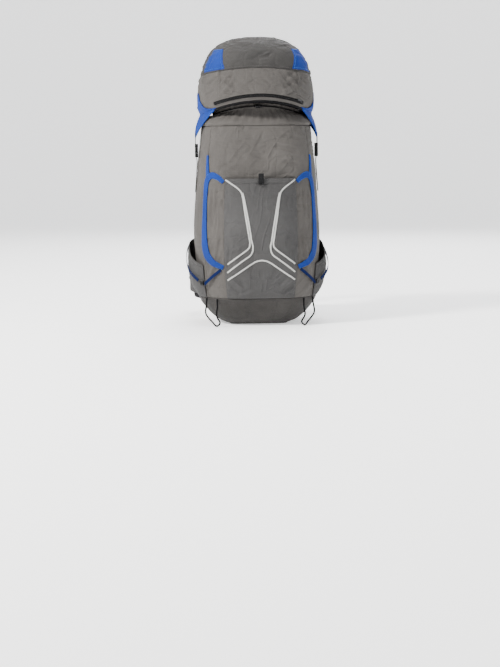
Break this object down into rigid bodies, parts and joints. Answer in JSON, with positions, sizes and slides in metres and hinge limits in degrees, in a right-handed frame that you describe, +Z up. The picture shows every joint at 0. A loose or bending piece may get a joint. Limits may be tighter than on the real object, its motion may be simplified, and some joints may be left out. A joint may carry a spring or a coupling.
{
  "type": "hiking backpack",
  "caption": "Framed top-loading hiking backpack with a floating zipped lid, drawcord collar, stretch pockets, tensioned mesh back, padded harness and buckled hip belt.",
  "frame": {"origin": "on the ground at the middle of the flat base patch, on the line through the bag's widest points", "axes": "+Z up, -Y towards the front pocket, +Y towards the wearer, +X to the right of someone who looks at the front pocket"},
  "size_m": [0.404, 0.5423, 0.7877],
  "materials": {
    "body_fabric": "woven, matt, lightly coated",
    "pocket_fabric": "woven, matt",
    "base_fabric": "heavy coated weave",
    "lining_fabric": "smooth lining",
    "accent_fabric": "plain blue weave",
    "mesh_fabric": "open knitted mesh",
    "foam_fabric": "padded, spacer mesh face",
    "webbing": "ribbed webbing",
    "navy_cord": "flat woven cord",
    "zip_tape": "zip tape with a fine coil",
    "hardware_plastic": "moulded, satin",
    "zip_metal": "dark coated",
    "frame_aluminium": "satin anodised"
  },
  "bodies": {
    "bag": {"base_patch": "base_fabric", "base_panel": "base_fabric", "front_panel": "body_fabric", "side_panel_left": "body_fabric", "side_panel_right": "body_fabric", "rear_panel": "body_fabric", "collar": "body_fabric", "collar_drawcord": "webbing", "collar_cord_lock": "hardware_plastic", "front_pocket": "pocket_fabric", "pocket_clip_socket": "hardware_plastic", "side_pocket_left": "pocket_fabric", "side_pocket_right": "pocket_fabric", "side_yoke_left": "accent_fabric", "side_yoke_right": "accent_fabric", "compression_strap_left": "navy_cord", "compression_strap_right": "navy_cord", "compression_buckle_left": "hardware_plastic", "compression_buckle_right": "hardware_plastic", "lid_strap_anchors": "hardware_plastic", "lid_anchor_strap_left": "webbing", "lid_anchor_strap_right": "webbing", "lid_buckle_socket_left": "hardware_plastic", "lid_buckle_socket_right": "hardware_plastic", "pad_strap_left": "webbing", "pad_strap_right": "webbing", "haul_loop": "webbing", "frame_rod": "frame_aluminium", "crossbar_lower": "frame_aluminium", "crossbar_upper": "frame_aluminium", "back_mesh": "mesh_fabric", "lumbar_pad": "foam_fabric", "harness_yoke": "foam_fabric", "shoulder_strap_left": "foam_fabric", "shoulder_strap_right": "foam_fabric", "shoulder_webbing": "webbing", "shoulder_ladderlocks": "hardware_plastic", "load_lifters": "webbing", "sternum_rails": "hardware_plastic", "hip_wing_left": "foam_fabric", "hip_wing_right": "foam_fabric", "hip_webbing": "webbing", "hip_buckle_socket": "hardware_plastic", "hip_pocket_left": "pocket_fabric", "hip_pocket_right": "pocket_fabric"},
    "lid": {"lid_shell": "body_fabric", "lid_underside": "lining_fabric", "lid_corner_patches": "accent_fabric", "lid_wing_left": "accent_fabric", "lid_wing_right": "accent_fabric", "lid_zipper": "zip_tape", "lid_rear_straps": "webbing"},
    "lid_zip_slider": {"lid_zip_slider": "zip_metal"},
    "lid_tongue_left": {"lid_buckle_tongue_left": "hardware_plastic"},
    "lid_tongue_right": {"lid_buckle_tongue_right": "hardware_plastic"},
    "pocket_clip": {"pocket_clip_tongue": "hardware_plastic"},
    "sternum": {"sternum_strap": "hardware_plastic"},
    "sternum_tongue": {"sternum_tongue": "hardware_plastic"},
    "hip_tongue": {"hip_buckle_tongue": "hardware_plastic"},
    "hip_zip_left": {"hip_zip_slider_left": "zip_metal"},
    "hip_zip_right": {"hip_zip_slider_right": "zip_metal"}
  },
  "joints": [
    {"name": "lid_hinge", "type": "hinge", "parent": "bag", "child": "lid", "pos_m": [0, 0.1002, 0.49], "axis": [-1, 0, 0], "range_deg": [0, 75]},
    {"name": "lid_zip", "type": "hinge", "parent": "lid", "child": "lid_zip_slider", "pos_m": [0, -0.03595, 0.57019], "axis": [0, 0.3502, 0.9367], "range_deg": [-90, 0]},
    {"name": "lid_release_left", "type": "slide", "parent": "lid", "child": "lid_tongue_left", "axis": [0, 0, 1], "range_m": [0, 0.015]},
    {"name": "lid_release_right", "type": "slide", "parent": "lid", "child": "lid_tongue_right", "axis": [0, 0, 1], "range_m": [0, 0.015]},
    {"name": "pocket_clip_release", "type": "slide", "parent": "bag", "child": "pocket_clip", "axis": [0, 0, 1], "range_m": [0, 0.011]},
    {"name": "sternum_height", "type": "slide", "parent": "bag", "child": "sternum", "axis": [0, 0, 1], "range_m": [-0.024, 0.024]},
    {"name": "sternum_release", "type": "slide", "parent": "sternum", "child": "sternum_tongue", "axis": [1, 0, 0], "range_m": [0, 0.016]},
    {"name": "hip_release", "type": "slide", "parent": "bag", "child": "hip_tongue", "axis": [1, 0, 0], "range_m": [0, 0.026]},
    {"name": "hip_zip_left", "type": "slide", "parent": "bag", "child": "hip_zip_left", "axis": [0, 1, 0], "range_m": [0, 0.044]},
    {"name": "hip_zip_right", "type": "slide", "parent": "bag", "child": "hip_zip_right", "axis": [0, 1, 0], "range_m": [0, 0.044]}
  ]
}
